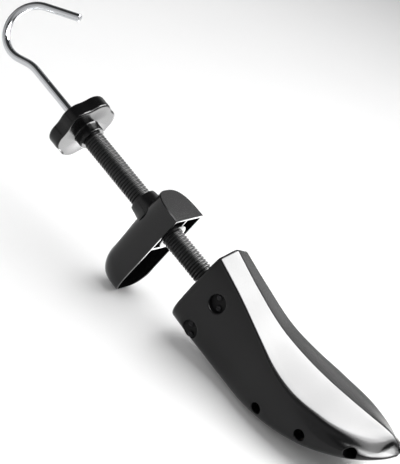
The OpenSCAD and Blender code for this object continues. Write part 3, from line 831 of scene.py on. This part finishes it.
def screw_tree():
    """A screw at every point along its aim: a shank as long as the point says, then a slotted head."""
    t = Tree("screws", Shank="Float", Head="Float", Height="Float", Finish="Material")
    shank, head, height = (t.given[k] for k in ("Shank", "Head", "Height"))
    aim = t.node("GeometryNodeInputNamedAttribute", [("Name", "aim")], "VECTOR", data_type="FLOAT_VECTOR")
    long = t.node("GeometryNodeInputNamedAttribute", [("Name", "long")], "VALUE", data_type="FLOAT")
    turn = t.node("FunctionNodeAlignRotationToVector", [("Vector", aim)], axis="Z")
    # shanks: a unit rod stretched to its length and a little into the head
    rod = t.node("GeometryNodeMeshCylinder", [("Vertices", 32), ("Radius", shank), ("Depth", 1.0)])
    rod = t.lifted(rod, 0.5)
    stretch = t.xyz(1.0, 1.0, t.sum(long, t.times(height, 0.2)))
    rods = t.node("GeometryNodeInstanceOnPoints", [
        ("Points", t.given["Points"]), ("Instance", rod), ("Rotation", turn), ("Scale", stretch)])
    # head: a short cylinder drawn in towards its top, less the slot
    cap = t.lifted(t.node("GeometryNodeMeshCylinder", [
        ("Vertices", 48), ("Side Segments", 8), ("Radius", head), ("Depth", height)]), t.times(height, 0.5))
    place = t.t.nodes.new("ShaderNodeSeparateXYZ")
    t.put(place.inputs[0], t.node("GeometryNodeInputPosition", []))
    x, y, z = place.outputs
    fall = t.times(t.sum(t.sum(z, height, "DIVIDE"), 3.0, "POWER"), -0.45)
    narrow = t.sum(t.sum(fall, 1.0), 0.5, "POWER")
    domed = t.xyz(t.times(x, narrow), t.times(y, narrow), z)
    cap = t.node("GeometryNodeSetPosition", [("Geometry", cap), ("Position", domed)])
    slot = t.node("GeometryNodeMeshCube", [("Size", t.xyz(t.times(head, 3.0), t.times(head, 0.32), height))])
    slot = t.lifted(slot, t.times(height, 1.04))
    cap = t.node("GeometryNodeMeshBoolean", [("Mesh 1", cap), ("Mesh 2", slot)],
                 operation="DIFFERENCE", solver="EXACT")
    reach = t.node("ShaderNodeVectorMath", [(0, aim), ("Scale", long)], operation="SCALE")
    tops = t.node("GeometryNodeSetPosition", [("Geometry", t.given["Points"]), ("Offset", reach)])
    caps = t.node("GeometryNodeInstanceOnPoints", [("Points", tops), ("Instance", cap), ("Rotation", turn)])
    caps, rods = (t.node("GeometryNodeRealizeInstances", [("Geometry", g)]) for g in (caps, rods))
    whole = t.node("GeometryNodeMeshBoolean", [("Mesh 2", caps), ("Mesh 2", rods)],
                   operation="UNION", solver="EXACT")
    whole = t.node("GeometryNodeRealizeInstances", [("Geometry", whole)])
    whole = t.node("GeometryNodeSetMaterial", [("Geometry", whole), ("Material", t.given["Finish"])])
    t.put(t.result, whole)
    return t


SCREWS = screw_tree()


def put_screws(name, node, body, mat, places, shank, head, height):
    """Screws of one kind; each place is a tip, an aim and the length under the head, in millimetres."""
    ob = new_object(name, [p[0] for p in places], [])
    ob.data.attributes.new("aim", "FLOAT_VECTOR", "POINT")
    ob.data.attributes.new("long", "FLOAT", "POINT")
    given = ob.data.attributes
    given["aim"].data.foreach_set("vector", [c for p in places for c in direction(p[1])])
    given["long"].data.foreach_set("value", [p[2] / 1000 for p in places])
    SCREWS.made(ob, Shank=shank / 1000, Head=head / 1000, Height=height / 1000, Finish=mat)
    smooth(ob, 35)
    piece(ob, mat, body, node)


# How far from the middle the cap's screws stand, the stubs end and the ramps' screws have their tips
CAP_SCREW_R, STUB_END, RAMP_SCREW_TIP = 12.2, 18.2, 29.5
RAMP_SCREW_LEN = (13.734, 9.115)
quarters = [math.radians(a) for a in (45, 135, 225, 315)]
put_screws("carrier_cap_screw_set", "carrier_cap_screws", "carrier", steel,
           [((41, CAP_SCREW_R * math.cos(a), CAP_SCREW_R * math.sin(a)), (1, 0, 0), 9) for a in quarters],
           shank=0.9, head=1.75, height=1.3)
# (x, z, distance of the tip from the split) of the screws in the guide stubs
stub_screws = ((20.6, 9.6, 5.8), (25.4, 3.6, 5.8), (18.0, -22, 2.8), (22.8, -28, 2.8))
put_screws("guide_stub_screw_set", "guide_stub_screws", "carrier", dark_steel,
           [((x, side * y, z), (0, side, 0), STUB_END - y) for side in (1, -1) for x, z, y in stub_screws],
           shank=0.9, head=2.2, height=1.3)
for hand, side in (("left", 1), ("right", -1)):
    put_screws("ramp_screw_set_" + hand, "ramp_screws_" + hand, hand, steel,
               [((x, side * RAMP_SCREW_TIP, 0), (0, -side, 0), long)
                for x, long in zip(RAMP_SCREW_X, RAMP_SCREW_LEN)],
               shank=1.2, head=2.7, height=2.0)

# CAD nodes that stay, in better materials
for names, mat in (
    (("carrier", "carrier_cap", "guide_stubs_upper", "guide_stubs_lower"), works_black),
    (("knob_set_screw", "hook_rod_stop_nut", "rod_thrust_collar", "collar_pin"), steel),
    (("tube_retaining_ring",), steel),
    (("ramp_left", "ramp_right"), ramp_pale), (("wedge_nut",), brass), (("thrust_washers",), washer),
):
    for name in names:
        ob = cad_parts[name]
        for s in ob.material_slots:
            s.material = mat

# Floor, light and camera
corners = [(-6, -6, 0), (6, -6, 0), (6, 6, 0), (-6, 6, 0)]
floor = bpy.data.objects.new("floor", new_mesh("floor", corners, [(0, 1, 2, 3)], world=False))
scene.collection.objects.link(floor)
fl = Shade("pale_floor", Roughness=0.7)
fl.colour(fl.noise(3.0, 2, 0.5).between(0.3, 0.7), (0.93, 0.93, 0.93), (0.95, 0.95, 0.95))
floor.data.materials.append(fl.mat)

world = bpy.data.worlds.new("studio")
scene.world = world
world.use_nodes = True
wt = world.node_tree
back = next(n for n in wt.nodes if n.type == "BACKGROUND")
split = wt.nodes.new("ShaderNodeSeparateXYZ")
wt.links.new(wt.nodes.new("ShaderNodeTexCoord").outputs["Generated"], split.inputs[0])
to_x, to_y, to_z = (Val(wt, o) for o in split.outputs)
# a dim room, with a pale wall behind the object that is brightest low down
# towards the toe, and a pale band low on the camera's side
behind = to_y.between(0.25, 0.7)
low = to_z.between(0.3, 0.05) * to_x.between(-0.13, 0.0)
front = (to_y * -1).between(0.1, 0.5) * to_z.between(0.68, 0.42)
wall = behind * to_z.between(0.8, 0.4) * to_z.between(0.0, 0.35, 0.3, 0.85)
glow = 0.045 + wall + behind * low * 1.3 + front * 0.6
wt.links.new(glow.s, back.inputs[1])
back.inputs[0].default_value = (1, 1, 1, 1)


def lamp(name, place, aim, size, level, glossy=True, diffuse=True):
    """An area lamp, in metres; its brightness is level, where 1 is white."""
    place, aim = Vector(place), Vector(aim)
    data = bpy.data.lights.new(name, "AREA")
    data.shape = "RECTANGLE"
    data.size, data.size_y = size
    data.energy = level * math.pi * size[0] * size[1]
    ob = bpy.data.objects.new(name, data)
    scene.collection.objects.link(ob)
    ob.location = place
    ob.rotation_mode = "QUATERNION"
    ob.rotation_quaternion = (aim - place).to_track_quat("-Z", "Y")
    ob.visible_glossy, ob.visible_diffuse = glossy, diffuse
    ob.visible_camera = False


# softboxes that the gloss shows: over the strip, ahead of the toe and over the hook
for name, (x, y, z), size, level in (
    ("strip_box", (0.17, 0.55, 0.75), (0.42, 1.0), 27),
    ("toe_box", (0.60, 0.15, 0.76), (0.90, 0.9), 8),
    ("toe_strip", (0.50, 0.17, 0.75), (0.24, 0.5), 18),
    ("edge_light", (-0.07, -0.40, 0.8), (0.16, 0.07), 18),
):
    lamp(name, (x, y, z), (x, y, 0), size, level, diffuse=False)
# soft light for the colours and the floor
middle = Vector((0.02, 0, 0.05))
lamp("soft_top", middle + Vector((0.15, 0.5, 1.6)), middle, (2.2, 2.2), 2.1, glossy=False)
lamp("soft_front", middle + Vector((-0.7, -1.3, 1.0)), middle, (1.6, 1.6), 1.3, glossy=False)
# the bright floor that the star's face shows
lamp("low_back", (-0.05, 0.2, 0.001), (-0.05, 0.2, 1), (0.24, 0.32), 4.2, diffuse=False)

# The camera of the photograph stands on the object's right, ahead of it and
# above. It is worked out in the screw's frame from how the screw lies in the
# picture. Picture size and focal length in pixels
WIDTH, HEIGHT, FOCAL = 400.0, 464.0, 1150.0
# The view's tilt towards the toe, and how far it is turned up about the screw
TO_CAMERA, EYE_UP = math.radians(16.6), math.radians(30)
# The eye in millimetres
EYE = (207.249, -685.292, 415.988)
# A pixel on the screw's axis, and the way that the axis runs in the picture
AXIS_POINT = np.array([112.5, 163.2])
along_px, across_px = np.array([0.6328, 0.7743]), np.array([0.7743, -0.6328])
back_to_eye = np.array([math.sin(TO_CAMERA), -math.cos(TO_CAMERA) * math.cos(EYE_UP),
                        math.cos(TO_CAMERA) * math.sin(EYE_UP)])
to_toe = np.array([1.0, 0, 0]) - back_to_eye[0] * back_to_eye
to_toe = to_toe / np.linalg.norm(to_toe)
square = np.cross(back_to_eye, to_toe)
# the axis runs beside the picture's middle, which turns its picture a little
off_axis = np.dot(np.array([WIDTH / 2, HEIGHT / 2]) - AXIS_POINT, across_px)
roll = math.asin(off_axis / FOCAL * math.tan(TO_CAMERA))
to_toe, square = (math.cos(roll) * to_toe - math.sin(roll) * square,
                  math.sin(roll) * to_toe + math.cos(roll) * square)
right_way = along_px[0] * to_toe + across_px[0] * square
up_way = -(along_px[1] * to_toe + across_px[1] * square)
pose = Matrix(np.column_stack([TURN @ right_way, TURN @ up_way, TURN @ back_to_eye]).tolist()).to_4x4()
pose.translation = Vector(to_world([EYE])[0])

camera = bpy.data.objects.new("camera", bpy.data.cameras.new("camera"))
scene.collection.objects.link(camera)
scene.camera = camera
camera.matrix_world = pose
camera.data.sensor_width = 36
camera.data.lens = FOCAL / HEIGHT * camera.data.sensor_width
camera.data.clip_start, camera.data.clip_end = 0.05, 20

scene.view_settings.view_transform = "Standard"
